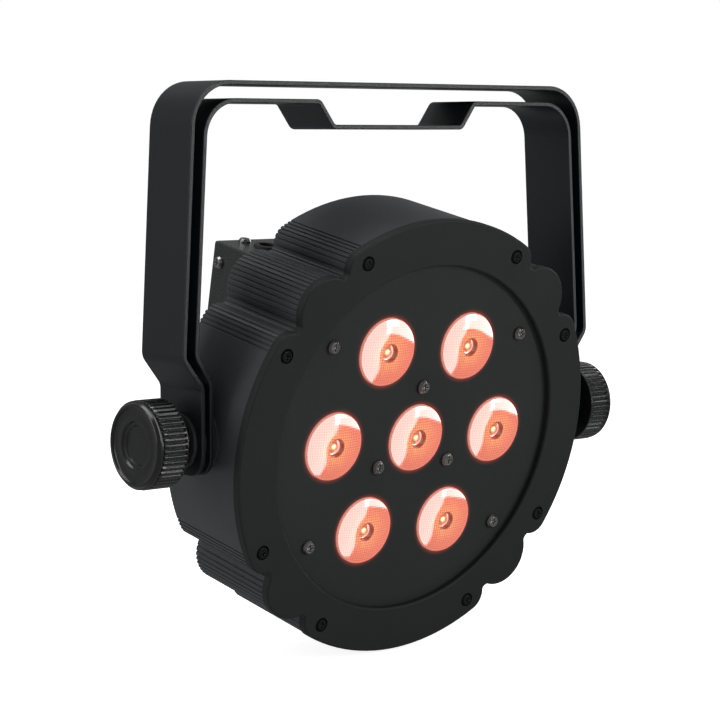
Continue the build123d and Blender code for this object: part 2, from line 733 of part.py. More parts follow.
with BuildPart() as tact_switches:
    with BuildSketch(HEAD.offset(control_back)):
        with Locations(*[(x, BUTTON_Y) for x in BUTTON_X.values()]):
            Rectangle(6, 6)
    extrude(amount=-SWITCH_H)
    with BuildSketch(HEAD.offset(control_back - SWITCH_H)):
        with Locations(*[(x, BUTTON_Y) for x in BUTTON_X.values()]):
            Circle(1.6)
    extrude(amount=-0.25)
finish(tact_switches, "tact_switches")

for name, x in BUTTON_X.items():
    with BuildPart() as button:
        with BuildSketch(HEAD.offset(PANEL_INSIDE)):
            with Locations((x, BUTTON_Y)):
                Circle(BUTTON_R)
        extrude(amount=-SHEET_T - 1.4)
        fillet(button.edges().filter_by(GeomType.CIRCLE).sort_by(HEAD_AXIS)[0], 0.5)
        with BuildSketch(HEAD.offset(PANEL_INSIDE + 0.2)):
            with Locations((x, BUTTON_Y)):
                Circle(BUTTON_R + 0.9)
        extrude(amount=0.9)
        with BuildSketch(HEAD.offset(PANEL_INSIDE)):
            with Locations((x, BUTTON_Y)):
                Circle(1.5)
        extrude(amount=2.5)
    finish(button, f"button_{name}")

# ---------------------------------------------------------------- DMX sockets
DMX_DEPTH = 21.0
DMX_FLANGE_T = 2.0
DMX_CAVITY = 16.0
PIN_ROOT = 4.0
DMX_PIN_R = 1.15
DMX_PIN_L = 16.0
CONTACT_HOLE_L = 12.0
dmx_pin_points = [polar(4.95, angle) for angle in (90, 210, 330)]
flange_back = BOX_BACK - DMX_FLANGE_T


def dmx_shell(at):
    """The flange and barrel of a round three-pole socket, still solid."""
    with BuildPart() as shell:
        with BuildSketch(HEAD.offset(BOX_BACK)):
            with Locations(at):
                RectangleRounded(26, 31, 3)
                with Locations((-DMX_SCREW_X, DMX_SCREW_Y), (DMX_SCREW_X, -DMX_SCREW_Y)):
                    Circle(M3_HOLE_R, mode=Mode.SUBTRACT)
        extrude(amount=-DMX_FLANGE_T)
        with BuildSketch(HEAD.offset(BOX_BACK)):
            with Locations(at):
                Circle(DMX_R)
        extrude(amount=DMX_DEPTH)
    return shell.part


with BuildPart() as dmx_in_socket:
    add(dmx_shell(DMX_IN))
    with BuildSketch(HEAD.offset(flange_back)):
        with Locations(DMX_IN):
            Circle(9.4)
    extrude(amount=DMX_CAVITY, mode=Mode.SUBTRACT)
    with BuildSketch(HEAD.offset(flange_back + DMX_CAVITY)):
        with Locations(DMX_IN):
            with Locations(*dmx_pin_points):
                Circle(DMX_PIN_R + 0.05)
    extrude(amount=PIN_ROOT, mode=Mode.SUBTRACT)
finish(dmx_in_socket, "dmx_in_socket")

with BuildPart() as dmx_in_pins:
    with BuildSketch(HEAD.offset(flange_back + DMX_CAVITY + PIN_ROOT)):
        with Locations(DMX_IN):
            with Locations(*dmx_pin_points):
                Circle(DMX_PIN_R)
    extrude(amount=-DMX_PIN_L)
finish(dmx_in_pins, "dmx_in_pins")

with BuildPart() as dmx_out_socket:
    add(dmx_shell(DMX_OUT))
    with BuildSketch(HEAD.offset(flange_back)):
        with Locations(DMX_OUT):
            Circle(9.6)
            Circle(7.9, mode=Mode.SUBTRACT)
    extrude(amount=DMX_CAVITY, mode=Mode.SUBTRACT)
    with BuildSketch(HEAD.offset(flange_back)):
        with Locations(DMX_OUT):
            with Locations(*dmx_pin_points):
                Circle(1.7)
            with Locations((0, LATCH_Y)):
                Rectangle(LATCH_W + 0.6, LATCH_H + 0.6)
    extrude(amount=CONTACT_HOLE_L, mode=Mode.SUBTRACT)
finish(dmx_out_socket, "dmx_out_socket")

with BuildPart() as dmx_latch:
    with BuildSketch(HEAD.offset(flange_back + 7)):
        with Locations((DMX_OUT[0], DMX_OUT[1] + LATCH_Y)):
            RectangleRounded(LATCH_W, LATCH_H, 0.8)
    extrude(amount=-9.4)
finish(dmx_latch, "dmx_latch")

dmx_screw_planes = []
for x, y in (DMX_IN, DMX_OUT):
    dmx_screw_planes.append(head_plane((x - DMX_SCREW_X, y + DMX_SCREW_Y, flange_back), (0, 0, -1)))
    dmx_screw_planes.append(head_plane((x + DMX_SCREW_X, y - DMX_SCREW_Y, flange_back), (0, 0, -1)))

# ---------------------------------------------------------------- mains inlet and outlet
POWER_DEPTH = 21.0
POWER_FLANGE_T = 2.5
POWER_CAVITY = 16.5
BLADE_ROOT = 5.0
BLADE_W = 2.0
BLADE_H = 4.0
power_back = BOX_BACK - POWER_FLANGE_T
power_pin_points = [(-7, -2), (7, -2), (0, 3)]


def power_shell(at):
    """The flange and body of a mains connector, still solid."""
    with BuildPart() as shell:
        with BuildSketch(HEAD.offset(BOX_BACK)):
            with Locations(at):
                RectangleRounded(POWER_W + 2, POWER_H + 4, 2)
        extrude(amount=-POWER_FLANGE_T)
        with BuildSketch(HEAD.offset(BOX_BACK)):
            with Locations(at):
                Rectangle(POWER_W, POWER_H)
        extrude(amount=POWER_DEPTH)
    return shell.part


def mains_outline(width, height, at):
    """A mains connector's section: a rectangle with its two upper corners cut."""
    with BuildSketch(mode=Mode.PRIVATE) as outline:
        with Locations(at):
            Rectangle(width, height)
        chamfer(outline.vertices().group_by(Axis.Y)[-1], height * 0.28)
    return outline.sketch


with BuildPart() as power_inlet:
    add(power_shell(POWER_IN))
    with BuildSketch(HEAD.offset(power_back)):
        add(mains_outline(24.4, 16.8, POWER_IN))
    extrude(amount=POWER_CAVITY, mode=Mode.SUBTRACT)
    with BuildSketch(HEAD.offset(power_back + POWER_CAVITY)):
        with Locations(POWER_IN):
            with Locations(*power_pin_points):
                Rectangle(BLADE_W + 0.1, BLADE_H + 0.1)
    extrude(amount=BLADE_ROOT, mode=Mode.SUBTRACT)
finish(power_inlet, "power_inlet")

with BuildPart() as power_inlet_pins:
    with BuildSketch(HEAD.offset(power_back + POWER_CAVITY + BLADE_ROOT)):
        with Locations(POWER_IN):
            with Locations(*power_pin_points):
                Rectangle(BLADE_W, BLADE_H)
    extrude(amount=-18.5)
finish(power_inlet_pins, "power_inlet_pins")

with BuildPart() as power_outlet:
    add(power_shell(POWER_OUT))
    with BuildSketch(HEAD.offset(power_back)):
        add(mains_outline(25, 17.4, POWER_OUT))
        add(mains_outline(20.6, 13.0, POWER_OUT), mode=Mode.SUBTRACT)
    extrude(amount=15, mode=Mode.SUBTRACT)
    with BuildSketch(HEAD.offset(power_back)):
        with Locations(POWER_OUT):
            with Locations(*power_pin_points):
                Rectangle(BLADE_W + 0.6, BLADE_H + 0.6)
    extrude(amount=16, mode=Mode.SUBTRACT)
finish(power_outlet, "power_outlet")

with BuildPart() as socket_contacts:
    with BuildSketch(HEAD.offset(power_back + 15.9)):
        with Locations(POWER_OUT):
            with Locations(*power_pin_points):
                Rectangle(BLADE_W + 0.4, BLADE_H + 0.4)
                Rectangle(BLADE_W - 0.4, BLADE_H - 0.4, mode=Mode.SUBTRACT)
    extrude(amount=-11)
    with BuildSketch(HEAD.offset(flange_back + 2)):
        with Locations(DMX_OUT):
            with Locations(*dmx_pin_points):
                Circle(1.65)
                Circle(1.25, mode=Mode.SUBTRACT)
    extrude(amount=10)
finish(socket_contacts, "socket_contacts")

# ---------------------------------------------------------------- fuse
FUSE_FLANGE_T = 1.5
FUSE_BORE_R = 4.0
FUSE_FLANGE_R = 7.5
FUSE_HOLDER_L = 27.0
fuse_back = BOX_BACK - FUSE_FLANGE_T

with BuildPart() as fuse_holder:
    with BuildSketch(HEAD.offset(BOX_BACK)):
        with Locations(FUSE):
            Circle(FUSE_FLANGE_R)
    extrude(amount=-FUSE_FLANGE_T)
    with BuildSketch(HEAD.offset(BOX_BACK)):
        with Locations(FUSE):
            Circle(FUSE_HOLE_R)
    extrude(amount=FUSE_HOLDER_L)
    with BuildSketch(HEAD.offset(fuse_back)):
        with Locations(FUSE):
            Circle(FUSE_BORE_R)
    extrude(amount=FUSE_HOLDER_L - 1, mode=Mode.SUBTRACT)
finish(fuse_holder, "fuse_holder")

with BuildPart() as fuse_cap:
    with BuildSketch(HEAD.offset(fuse_back - 0.1)):
        with Locations(FUSE):
            Circle(5.8)
    extrude(amount=-2.6, taper=8)
    with BuildSketch(HEAD.offset(fuse_back - 0.1)):
        with Locations(FUSE):
            Circle(FUSE_BORE_R - 0.25)
    extrude(amount=5)
    with BuildSketch(HEAD.offset(fuse_back - 2.7)):
        with Locations(FUSE):
            Rectangle(7.5, 1.3)
    extrude(amount=1.4, mode=Mode.SUBTRACT)
finish(fuse_cap, "fuse_cap")

with BuildPart() as fuse:
    with BuildSketch(HEAD.offset(fuse_back + 5)):
        with Locations(FUSE):
            Circle(2.6)
    extrude(amount=20)
finish(fuse, "fuse")

# ---------------------------------------------------------------- power supply
POST_R = 3.0
power_board_back = POWER_BOARD_Z - BOARD_T

with BuildPart() as power_board:
    with BuildSketch(HEAD.offset(power_board_back)):
        Rectangle(86, 90)
        with Locations(*board_post_points):
            Circle(M3_HOLE_R, mode=Mode.SUBTRACT)
    extrude(amount=BOARD_T)
finish(power_board, "power_board")

with BuildPart() as board_posts:
    with BuildSketch(HEAD.offset(POWER_BOARD_Z)):
        with Locations(*board_post_points):
            Circle(POST_R)
            Circle(M3_HOLE_R, mode=Mode.SUBTRACT)
    extrude(amount=HOUSING_BACK - POWER_BOARD_Z)
    with BuildSketch(HEAD.offset(PANEL_INSIDE)):
        with Locations(*control_post_points):
            Circle(POST_R - 0.2)
            Circle(M3_HOLE_R, mode=Mode.SUBTRACT)
    extrude(amount=control_back - PANEL_INSIDE)
finish(board_posts, "board_posts")

# The lid, box, eye, sockets and boards are all held by the same short screw
backward = (0, 0, -1)
small_screw_planes = lid_screw_planes + dmx_screw_planes
small_screw_planes += [head_plane((x, y, HOUSING_BACK - SHEET_T), backward) for x, y in box_mount_points]
small_screw_planes += [head_plane((x, EYE_Y, BOX_BACK - EYE_T), backward) for x in (-EYE_SCREW_X, EYE_SCREW_X)]
small_screw_planes += [head_plane((x, y, power_board_back), backward) for x, y in board_post_points]
small_screw_planes += [head_plane((x, y, CONTROL_BOARD_Z)) for x, y in control_post_points]
finish(group(cross_screw(2.9, 1.9, M3_R, 6), small_screw_planes), "case_screws")

COIL_AT = (-20, 12)
CORE_W = 26.0
CORE_H = 22.0
CORE_T = 4.0

with BuildPart() as transformer:
    with BuildSketch(HEAD.offset(power_board_back)):
        with Locations(COIL_AT):
            Rectangle(CORE_W, CORE_H)
    extrude(amount=-CORE_T)
    with BuildSketch(HEAD.offset(power_board_back - CORE_T)):
        with Locations(COIL_AT):
            Rectangle(CORE_W - 8, CORE_H - 2)
    extrude(amount=-CORE_T)
    with BuildSketch(HEAD.offset(power_board_back - 2 * CORE_T)):
        with Locations(COIL_AT):
            Rectangle(CORE_W, CORE_H)
    extrude(amount=-CORE_T)
finish(transformer, "transformer")

with BuildPart() as capacitors:
    with BuildSketch(HEAD.offset(power_board_back)):
        with Locations((10, 12), (26, 12), (10, -6)):
            Circle(6)
    extrude(amount=-13)
finish(capacitors, "capacitors")

LEAD_R = 1.0


def lead(x):
    """One insulated lead, from the LED board through the heat sink and the housing's back."""
    with BuildPart() as wire:
        with BuildLine(head_plane((x, 0, 0), (1, 0, 0), (0, 1, 0))):
            FilletPolyline(
                (LEAD_Y, SINK_FRONT),
                (LEAD_Y, -7),
                (LEAD_HOLE_Y, -18),
                (LEAD_HOLE_Y, POWER_BOARD_Z),
                radius=6,
            )
        with BuildSketch(head_plane((x, LEAD_Y, SINK_FRONT), (0, 0, -1))):
            Circle(LEAD_R)
        sweep()
    return wire.part


with BuildPart() as led_leads:
    add(lead(-LEAD_X))
    add(lead(LEAD_X))
finish(led_leads, "led_leads")

with BuildPart() as ribbon_cable:
    with BuildSketch(HEAD.offset(power_board_back)):
        with Locations((18, 34)):
            Rectangle(14, 0.9)
    extrude(amount=CONTROL_BOARD_Z - power_board_back)
finish(ribbon_cable, "ribbon_cable")
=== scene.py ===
import json
import math

import bmesh
import bpy
from mathutils import Matrix, Vector


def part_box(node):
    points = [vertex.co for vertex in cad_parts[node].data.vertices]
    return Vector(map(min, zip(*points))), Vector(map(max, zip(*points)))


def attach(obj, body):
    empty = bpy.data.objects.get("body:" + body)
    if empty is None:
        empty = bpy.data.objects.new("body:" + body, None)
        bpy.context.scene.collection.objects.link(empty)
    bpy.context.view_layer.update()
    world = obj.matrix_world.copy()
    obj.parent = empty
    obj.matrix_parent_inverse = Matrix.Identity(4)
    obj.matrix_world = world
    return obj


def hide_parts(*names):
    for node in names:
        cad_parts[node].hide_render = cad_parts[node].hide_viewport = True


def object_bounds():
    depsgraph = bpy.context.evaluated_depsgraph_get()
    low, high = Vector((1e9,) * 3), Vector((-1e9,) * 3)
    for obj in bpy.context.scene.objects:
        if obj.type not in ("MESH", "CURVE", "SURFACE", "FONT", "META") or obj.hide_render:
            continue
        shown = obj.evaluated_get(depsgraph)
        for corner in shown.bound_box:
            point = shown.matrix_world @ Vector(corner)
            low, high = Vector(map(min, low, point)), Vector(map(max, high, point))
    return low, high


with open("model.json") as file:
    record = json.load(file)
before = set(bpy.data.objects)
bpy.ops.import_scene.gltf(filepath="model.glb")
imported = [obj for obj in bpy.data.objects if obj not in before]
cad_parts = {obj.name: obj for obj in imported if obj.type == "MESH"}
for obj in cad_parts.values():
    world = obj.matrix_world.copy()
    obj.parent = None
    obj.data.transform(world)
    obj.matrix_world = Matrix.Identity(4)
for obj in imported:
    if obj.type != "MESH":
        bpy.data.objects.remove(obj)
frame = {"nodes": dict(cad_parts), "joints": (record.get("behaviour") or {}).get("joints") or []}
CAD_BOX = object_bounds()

# An LED par can light on a double yoke, in metres, in the row frame: the clamp hole is the origin,
# +Z is up and the light shines towards -Y. The head is tilted about the knobs' axis.
MM = 0.001
TILT = math.radians(11.25)
PIVOT = Vector(next(j["pos_m"] for j in frame["joints"] if j["name"] == "head_tilt"))
HEAD_UP = Vector((0, -math.sin(TILT), math.cos(TILT)))
HEAD_FRONT = Vector((0, -math.cos(TILT), -math.sin(TILT)))
LENS_R = 15.4            # mm, like every size in the lens and knob profiles
HALO_W = 0.0024          # width of the plate's painted red glow round each lens, in metres
SMOOTH_ANGLE = math.radians(35)


def axes_matrix(origin, x_axis, y_axis, z_axis):
    """A matrix that puts a piece's own axes where these vectors say."""
    turn = Matrix((x_axis, y_axis, z_axis)).transposed().to_4x4()
    return Matrix.Translation(origin) @ turn


HEAD = axes_matrix(PIVOT, Vector((1, 0, 0)), HEAD_UP, HEAD_FRONT)


def head_box(node):
    """The lowest and highest corners of a CAD node, on the head's axes: right, up, forward."""
    back = HEAD.inverted()
    points = [back @ v.co for v in frame["nodes"][node].data.vertices]
    low = Vector([min(p[k] for p in points) for k in range(3)])
    high = Vector([max(p[k] for p in points) for k in range(3)])
    return low, high


# ---------------------------------------------------------------- material helpers
def add_node(tree, kind, settings=None, **inputs):
    """A shader node with its settings and unlinked inputs filled in; a socket as a value is linked."""
    made = tree.nodes.new(kind)
    for key, value in (settings or {}).items():
        setattr(made, key, value)
    for key, value in inputs.items():
        socket = made.inputs[int(key[1:]) if key[0] == "i" and key[1:].isdigit() else key.replace("_", " ")]
        if isinstance(value, bpy.types.NodeSocket):
            tree.links.new(value, socket)
        else:
            socket.default_value = value
    return made


def new_material(name, **sockets):
    """A material with one Principled shader; values given here are set on the shader's own sockets."""
    made = bpy.data.materials.new(name)
    made.use_nodes = True
    shader = next(n for n in made.node_tree.nodes if n.type == "BSDF_PRINCIPLED")
    for key, value in sockets.items():
        shader.inputs[key.replace("_", " ")].default_value = value
    return made, made.node_tree, shader


def rgba(color, gain=1.0):
    """An opaque colour, made lighter or darker by the gain."""
    return (color[0] * gain, color[1] * gain, color[2] * gain, 1.0)


def object_coords(tree):
    return add_node(tree, "ShaderNodeTexCoord").outputs["Object"]


def noise(tree, coords, scale, detail=3.0, roughness=0.55):
    """Noise about 0.5, with the scale in cells per unit of the coordinates."""
    return add_node(
        tree, "ShaderNodeTexNoise", Vector=coords, Scale=scale, Detail=detail, Roughness=roughness
    ).outputs["Fac"]


def ramp(tree, value, low, high, to_low=0.0, to_high=1.0):
    """Maps a value from one range to another, and clamps it."""
    return add_node(
        tree, "ShaderNodeMapRange", {"clamp": True}, i0=value, i1=low, i2=high, i3=to_low, i4=to_high
    ).outputs["Result"]


def mix_color(tree, factor, a, b):
    return add_node(
        tree, "ShaderNodeMix", {"data_type": "RGBA"}, i0=factor, i6=a, i7=b
    ).outputs[2]


def math_node(tree, operation, a, b=0.0):
    return add_node(tree, "ShaderNodeMath", {"operation": operation}, i0=a, i1=b).outputs[0]


def edge_mask(tree, radius):
    """1 on sharp edges, 0 on flats: where a rounded normal leaves the true one."""
    rounded = add_node(tree, "ShaderNodeBevel", {"samples": 6}, Radius=radius).outputs["Normal"]
    true_normal = add_node(tree, "ShaderNodeNewGeometry").outputs["Normal"]
    dot = add_node(tree, "ShaderNodeVectorMath", {"operation": "DOT_PRODUCT"}, i0=rounded, i1=true_normal)
    return ramp(tree, dot.outputs["Value"], 0.985, 0.86)


def bump(tree, height, distance, strength=1.0, normal=None):
    """A normal tilted by a height from 0 to 1, which stands for the distance in metres."""
    made = add_node(tree, "ShaderNodeBump", Height=height, Distance=distance, Strength=strength)
    if normal is not None:
        tree.links.new(normal, made.inputs["Normal"])
    return made.outputs["Normal"]


# ---------------------------------------------------------------- materials
def painted_metal(name, color, rough, grain_mm, grain_height, edge_wear_and_sheen_color, edge_width, specular=0.5):
    """Powder coat: an orange-peel grain, slow patches of tone, and lighter edges, which are a painted edge
    highlight as well as paint rubbed thin.
    """
    made, tree, shader = new_material(name, Specular_IOR_Level=specular)
    coords = object_coords(tree)
    grain = noise(tree, coords, 1000 / grain_mm, 4.0, 0.6)
    patches = noise(tree, coords, 22.0, 3.0)
    dust = noise(tree, coords, 900.0, 2.0)
    tone = mix_color(tree, patches, rgba(color, 0.82), rgba(color, 1.22))
    tone = mix_color(tree, ramp(tree, dust, 0.62, 0.78, 0.0, 0.35), tone, rgba(color, 2.1))
    # painted edge highlight: the edges get a lighter colour, standing for light caught there as well as paint
    # rubbed thin
    edge_wear_and_sheen = math_node(tree, "MULTIPLY", edge_mask(tree, edge_width), ramp(tree, patches, 0.3, 0.7, 0.45, 1.0))
    tree.links.new(mix_color(tree, edge_wear_and_sheen, tone, rgba(edge_wear_and_sheen_color)), shader.inputs["Base Color"])
    tree.links.new(ramp(tree, grain, 0.3, 0.7, rough - 0.06, rough + 0.08), shader.inputs["Roughness"])
    rounded = add_node(tree, "ShaderNodeBevel", {"samples": 6}, Radius=edge_width * 0.7).outputs["Normal"]
    tree.links.new(bump(tree, grain, grain_height, 1.0, rounded), shader.inputs["Normal"])
    return made


def moulded_plastic(name, color, rough, texture_mm=0.25, height=0.00002, coat=0.0):
    """Moulded plastic with a fine spark-eroded skin, faint flow patches and rub marks on the edges."""
    made, tree, shader = new_material(name, Coat_Weight=coat, Coat_Roughness=0.12)
    coords = object_coords(tree)
    skin = noise(tree, coords, 1000 / texture_mm, 3.0)
    patches = noise(tree, coords, 60.0, 4.0)
    rubbed = math_node(tree, "MULTIPLY", edge_mask(tree, 0.0005), 0.35)
    tone = mix_color(tree, patches, rgba(color, 0.8), rgba(color, 1.3))
    tone = mix_color(tree, rubbed, tone, rgba([min(1, c * 3 + 0.03) for c in color]))
    tree.links.new(tone, shader.inputs["Base Color"])
    tree.links.new(ramp(tree, patches, 0.3, 0.7, rough - 0.05, rough + 0.07), shader.inputs["Roughness"])
    rounded = add_node(tree, "ShaderNodeBevel", {"samples": 4}, Radius=0.0003).outputs["Normal"]
    tree.links.new(bump(tree, skin, height, 1.0, rounded), shader.inputs["Normal"])
    return made


def bare_metal(name, color, rough, brushed_axis=None, dark=0.5, metallic=1.0, rim=1.3):
    """Plated or machined metal: tool marks, tarnish in patches, and bright edges, which are painted
    highlights as well as rubbed wear.
    """
    made, tree, shader = new_material(name, Metallic=metallic)
    coords = object_coords(tree)
    stretch = [900.0, 900.0, 900.0]
    if brushed_axis is not None:
        stretch[brushed_axis] = 30.0
    lines = add_node(tree, "ShaderNodeVectorMath", {"operation": "MULTIPLY"}, i0=coords, i1=stretch)
    marks = noise(tree, lines.outputs[0], 1.0, 3.0)
    tarnish = noise(tree, coords, 140.0, 4.0)
    tone = mix_color(tree, ramp(tree, tarnish, 0.35, 0.7), rgba(color), rgba(color, dark))
    # painted edge highlight: rim lightens the edges, for light caught there as well as rubbed wear
    tone = mix_color(tree, edge_mask(tree, 0.0003), tone, rgba([min(1, c * rim) for c in color]))
    tree.links.new(tone, shader.inputs["Base Color"])
    tree.links.new(ramp(tree, marks, 0.3, 0.7, rough, rough + 0.18), shader.inputs["Roughness"])
    rounded = add_node(tree, "ShaderNodeBevel", {"samples": 4}, Radius=0.00025).outputs["Normal"]
    tree.links.new(bump(tree, marks, 0.000012, 1.0, rounded), shader.inputs["Normal"])
    return made


def nearest_lens(tree, coords, centres):
    """Distance on the plate from the nearest lens axis."""
    best = None
    for centre in centres:
        to_axis = add_node(tree, "ShaderNodeVectorMath", {"operation": "DISTANCE"}, i0=coords, i1=centre)
        away = to_axis.outputs["Value"]
        best = away if best is None else math_node(tree, "MINIMUM", best, away)
    return best


def plate_material(name, color, centres, lens_r):
    """The matte front plate. A painted red glow, emitted close round each lens, stands in for the light
    escaping from the lenses.
    """
    # the edge colour, 2.5 times the plate's, is a painted edge highlight along with paint rubbed thin
    made = painted_metal(name, color, 0.62, 0.5, 0.00003, [c * 2.5 for c in color], 0.0004, 0.35)
    tree = made.node_tree
    shader = next(n for n in tree.nodes if n.type == "BSDF_PRINCIPLED")
    away = nearest_lens(tree, object_coords(tree), centres)
    # painted glow: the plate itself emits red near each lens, standing for light spilled from the lenses
    halo = math_node(tree, "POWER", ramp(tree, away, lens_r, lens_r + HALO_W, 1.0, 0.0), 2.0)
    painted_glow = mix_color(tree, halo, (0, 0, 0, 1), (0.3, 0.03, 0.012, 1))
    tree.links.new(painted_glow, shader.inputs["Emission Color"])
    shader.inputs["Emission Strength"].default_value = 0.6
    return made


def color_stops(tree, value, stops):
    """A colour ramp from (place, colour) pairs."""
    made = add_node(tree, "ShaderNodeValToRGB", i0=value)
    band = made.color_ramp
    while len(band.elements) < len(stops):
        band.elements.new(0.5)
    for element, (place, color) in zip(band.elements, stops):
        element.position = place
        element.color = (*color, 1)
    return made.outputs["Color"]


def lens_material(name):
    """A lit collimator lens: the emitter in its well, a warm yellow zone and an orange-pink rim, under
    clear gloss. Its colour follows the glow attribute, the distance from the lens axis in millimetres."""
    made, tree, shader = new_material(name, Roughness=0.07, IOR=1.49, Coat_Weight=1.0, Coat_Roughness=0.05)
    glow = add_node(tree, "ShaderNodeAttribute", {"attribute_name": "glow"}).outputs["Vector"]
    radius = add_node(tree, "ShaderNodeVectorMath", {"operation": "LENGTH"}, i0=glow).outputs["Value"]
    patches = noise(tree, glow, 0.22, 3.0)
    wander = math_node(tree, "MULTIPLY", math_node(tree, "SUBTRACT", patches, 0.5), 7.0)
    outer = color_stops(tree, ramp(tree, math_node(tree, "ADD", radius, wander), 4.0, 16.0), [
        (0.00, (0.86, 0.46, 0.16)),
        (0.22, (0.80, 0.34, 0.13)),
        (0.50, (0.70, 0.215, 0.115)),
        (0.80, (0.66, 0.18, 0.115)),
        (1.00, (0.70, 0.22, 0.15)),
    ])
    well = color_stops(tree, ramp(tree, radius, 0.0, 4.4), [
        (0.00, (1.0, 0.86, 0.42)),
        (0.30, (1.0, 0.66, 0.20)),
        (0.40, (0.36, 0.06, 0.02)),
        (0.55, (0.62, 0.22, 0.06)),
        (0.72, (0.50, 0.13, 0.04)),
        (0.88, (0.26, 0.035, 0.012)),
        (1.00, (0.30, 0.05, 0.02)),
    ])
    cells = add_node(
        tree, "ShaderNodeTexVoronoi", {"feature": "F1"}, Vector=glow, Scale=0.85, Randomness=0.12
    )
    dots = ramp(tree, cells.outputs["Distance"], 0.15, 0.6)
    dotted = mix_color(tree, math_node(tree, "MULTIPLY", dots, 0.85), outer, (0.40, 0.05, 0.025, 1))
    ring_waves = add_node(
        tree, "ShaderNodeTexWave", {"wave_type": "RINGS", "rings_direction": "Z"},
        Vector=glow, Scale=0.32, Distortion=2.5, Detail=2.0,
    ).outputs["Fac"]
    ringed = mix_color(tree, ramp(tree, ring_waves, 0.0, 1.0, 0.0, 0.16), dotted, (1.0, 0.62, 0.4, 1))
    outside_well = ramp(tree, radius, 4.1, 4.6)
    lit = mix_color(tree, outside_well, well, ringed)
    rim = ramp(tree, radius, 14.5, 15.2)
    lit = mix_color(tree, math_node(tree, "MULTIPLY", rim, 0.55), lit, (0.92, 0.5, 0.42, 1))
    tree.links.new(lit, shader.inputs["Emission Color"])
    tree.links.new(mix_color(tree, 0.85, lit, (0.1, 0.02, 0.015, 1)), shader.inputs["Base Color"])
    shader.inputs["Emission Strength"].default_value = 0.38
    domes = math_node(tree, "MULTIPLY", math_node(tree, "SUBTRACT", 1.0, dots), outside_well)
    tree.links.new(bump(tree, domes, 0.00003, 0.35), shader.inputs["Normal"])
    return made


def board_material(name, color, trace_color):
    """A circuit board: solder mask with faint tracks under it."""
    made, tree, shader = new_material(name, Coat_Weight=0.5, Coat_Roughness=0.2)
    coords = object_coords(tree)
    cells = add_node(tree, "ShaderNodeTexVoronoi", {"distance": "MANHATTAN"}, Vector=coords, Scale=320.0)
    tracks = ramp(tree, cells.outputs["Distance"], 0.42, 0.5)
    tree.links.new(mix_color(tree, tracks, rgba(color), rgba(trace_color)), shader.inputs["Base Color"])
    tree.links.new(ramp(tree, noise(tree, coords, 400.0), 0.3, 0.7, 0.3, 0.45), shader.inputs["Roughness"])
    tree.links.new(bump(tree, tracks, 0.00003, 0.6), shader.inputs["Normal"])
    return made


def window_material(name):
    """Dark red display window with hair scratches."""
    made, tree, shader = new_material(name, IOR=1.49, Coat_Weight=1.0, Coat_Roughness=0.05)
    coords = object_coords(tree)
    stretch = (60.0, 60.0, 2400.0)
    stretched = add_node(tree, "ShaderNodeVectorMath", {"operation": "MULTIPLY"}, i0=coords, i1=stretch)
    scratches = ramp(tree, noise(tree, stretched.outputs[0], 1.0, 2.0), 0.62, 0.75)
    tone = mix_color(tree, scratches, (0.03, 0.002, 0.002, 1), (0.09, 0.03, 0.03, 1))
    tree.links.new(tone, shader.inputs["Base Color"])
    tree.links.new(ramp(tree, scratches, 0.0, 1.0, 0.08, 0.35), shader.inputs["Roughness"])
    return made


def clear_glass(name):
    """Clear glass with a faint smear."""
    made, tree, shader = new_material(name, IOR=1.5, Transmission_Weight=0.9)
    smear = noise(tree, object_coords(tree), 300.0)
    tree.links.new(ramp(tree, smear, 0.3, 0.7, 0.02, 0.12), shader.inputs["Roughness"])
    tree.links.new(mix_color(tree, smear, (0.9, 0.93, 0.92, 1), (1, 1, 1, 1)), shader.inputs["Base Color"])
    return made


def stage_material(name):
    """The floor: white for the camera, and a dull white paper for the light that it sends back."""
    made, tree, shader = new_material(name, Roughness=0.85)
    patches = noise(tree, object_coords(tree), 3.0)
    tone = mix_color(tree, patches, (0.9, 0.9, 0.9, 1), (0.94, 0.94, 0.94, 1))
    tree.links.new(tone, shader.inputs["Base Color"])
    seen = add_node(tree, "ShaderNodeLightPath").outputs["Is Camera Ray"]
    shader.inputs["Emission Color"].default_value = (1, 1, 1, 1)
    tree.links.new(ramp(tree, seen, 0.0, 1.0, 0.05, 0.85), shader.inputs["Emission Strength"])
    return made


# ---------------------------------------------------------------- mesh helpers
def mesh_piece(name, builder, place, material):
    """A mesh object from a bmesh in its own axes, put in the row frame by its matrix."""
    builder.normal_update()
    bmesh.ops.recalc_face_normals(builder, faces=builder.faces)
    mesh = bpy.data.meshes.new(name)
    builder.to_mesh(mesh)
    builder.free()
    mesh.transform(place)
    mesh.materials.append(material)
    made = bpy.data.objects.new(name, mesh)
    bpy.context.scene.collection.objects.link(made)
    for polygon in mesh.polygons:
        polygon.use_smooth = True
    mesh.set_sharp_from_angle(angle=SMOOTH_ANGLE)
    return made


def lathe(profile, segments, radius_at=None):
    """A closed body turned about its Z axis. The profile is (radius, height) pairs from axis to axis."""
    builder = bmesh.new()
    rings = []
    for radius, height in profile:
        if radius == 0:
            rings.append([builder.verts.new((0, 0, height))])
            continue
        ring = []
        for k in range(segments):
            angle = 2 * math.pi * k / segments
            reach = radius_at(radius, height, angle) if radius_at else radius
            ring.append(builder.verts.new((reach * math.cos(angle), reach * math.sin(angle), height)))
        rings.append(ring)
    for a, b in zip(rings, rings[1:]):
        for k in range(segments):
            n = (k + 1) % segments
            if len(a) == 1:
                builder.faces.new((a[0], b[k], b[n]))
            elif len(b) == 1:
                builder.faces.new((a[k], b[0], a[n]))
            else:
                builder.faces.new((a[k], b[k], b[n], a[n]))
    return builder


def arc(centre, radius, start, end, steps):
    """Profile points along an arc, angles in degrees."""
    points = []
    for k in range(steps + 1):
        angle = math.radians(start + (end - start) * k / steps)
        points.append((centre[0] + radius * math.cos(angle), centre[1] + radius * math.sin(angle)))
    return points


def scaled(profile):
    """A profile in metres from one in millimetres."""
    return [(radius * MM, height * MM) for radius, height in profile]


